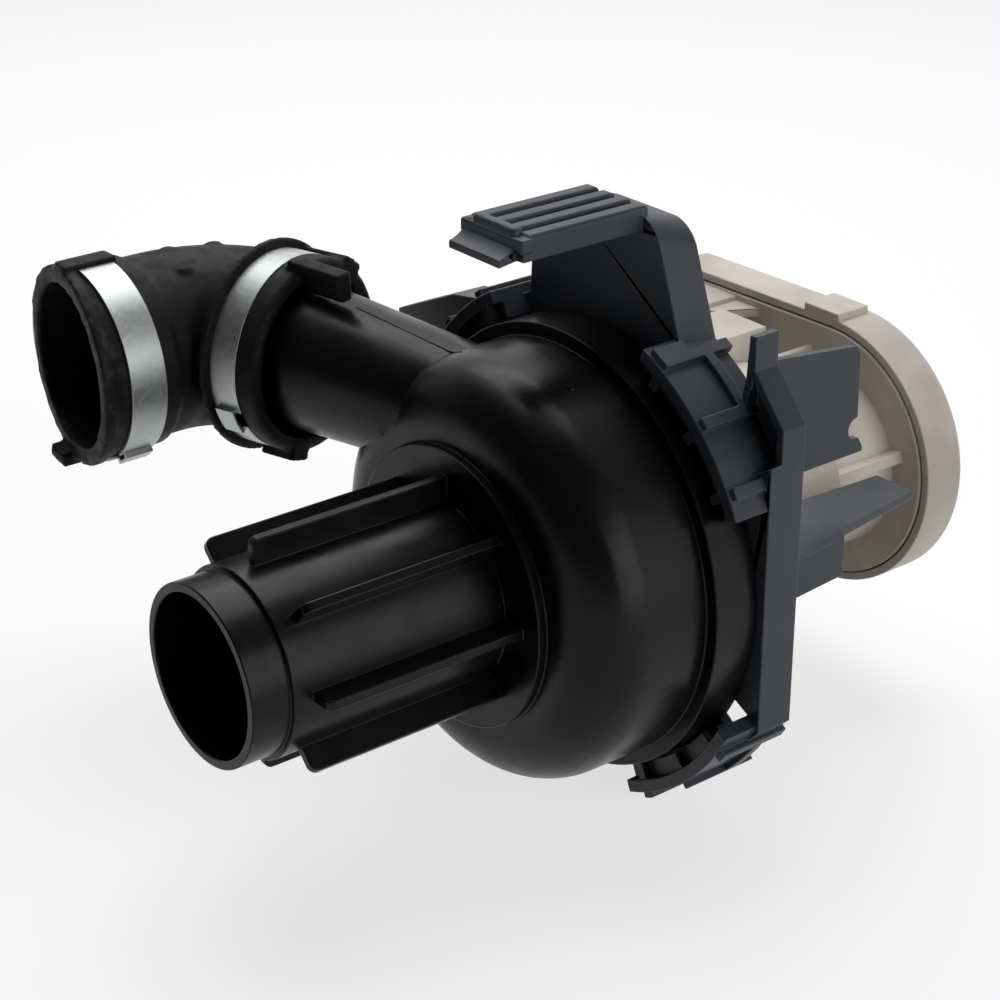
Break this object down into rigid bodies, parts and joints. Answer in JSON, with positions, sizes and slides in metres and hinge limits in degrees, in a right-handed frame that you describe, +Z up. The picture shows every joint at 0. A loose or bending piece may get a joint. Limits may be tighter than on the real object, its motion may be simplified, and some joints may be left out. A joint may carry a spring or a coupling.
{
  "type": "dishwasher pump motor",
  "caption": "Canned wet-rotor circulation pump for a dishwasher: ribbed inlet spigot, drum-shaped volute, rubber outlet elbow, fixing bracket and motor with end cap",
  "frame": {"origin": "centre of the open end of the inlet spigot, on the pump's axis", "axes": "+Y along the pump's axis from the inlet mouth towards the motor, +Z up towards the bracket's top arm, +X to the side away from the outlet elbow"},
  "size_m": [0.1902, 0.2108, 0.1525],
  "materials": {
    "black_plastic": "satin injection-moulded black plastic",
    "black_rubber": "matte moulded rubber",
    "grey_plastic": "satin blue-grey moulded plastic",
    "cream_plastic": "satin cream moulded plastic",
    "galvanised_steel": "dull spangled zinc",
    "seal_rubber": "smooth black rubber",
    "inner_plastic": "dark glass-filled plastic",
    "screw_steel": "zinc-plated steel",
    "stainless_steel": "smooth stainless steel",
    "carbon": "pressed carbon graphite",
    "brass": "turned brass",
    "stator_iron": "laminated electrical steel",
    "magnet": "sintered ferrite",
    "bobbin_plastic": "natural nylon",
    "winding": "enamelled copper wire",
    "tinned_brass": "tinned brass",
    "board": "green glass-epoxy laminate",
    "component_plastic": "dark component cases"
  },
  "bodies": {
    "root": {"pump_cover": "black_plastic", "cover_seal": "seal_rubber", "wear_ring": "inner_plastic", "outlet_elbow": "black_rubber", "neck_clamp": "galvanised_steel", "mouth_clamp": "galvanised_steel", "motor_bracket": "grey_plastic", "bearing_carrier": "inner_plastic", "carrier_screws": "screw_steel", "rotor_can": "stainless_steel", "can_seal": "seal_rubber", "front_bushing": "carbon", "rear_bushing": "carbon", "rear_cushion": "seal_rubber", "stator_core": "stator_iron", "stator_bobbins": "bobbin_plastic", "stator_coils": "winding", "motor_housing": "cream_plastic", "terminal_pins": "tinned_brass", "motor_screws": "screw_steel", "circuit_board": "board", "board_components": "component_plastic", "end_cap": "cream_plastic", "cap_screws": "screw_steel"},
    "rotor": {"shaft": "stainless_steel", "impeller": "inner_plastic", "impeller_shroud": "inner_plastic", "impeller_nut": "brass", "front_thrust_washer": "stainless_steel", "rotor_core": "stator_iron", "rotor_magnet": "magnet", "front_end_disc": "inner_plastic", "rear_end_disc": "inner_plastic", "rear_thrust_washer": "stainless_steel"}
  },
  "joints": [
    {"name": "rotor_spin", "type": "hinge", "parent": "root", "child": "rotor", "pos_m": [0, 0.13, 0], "axis": [0, 1, 0], "continuous": true}
  ]
}
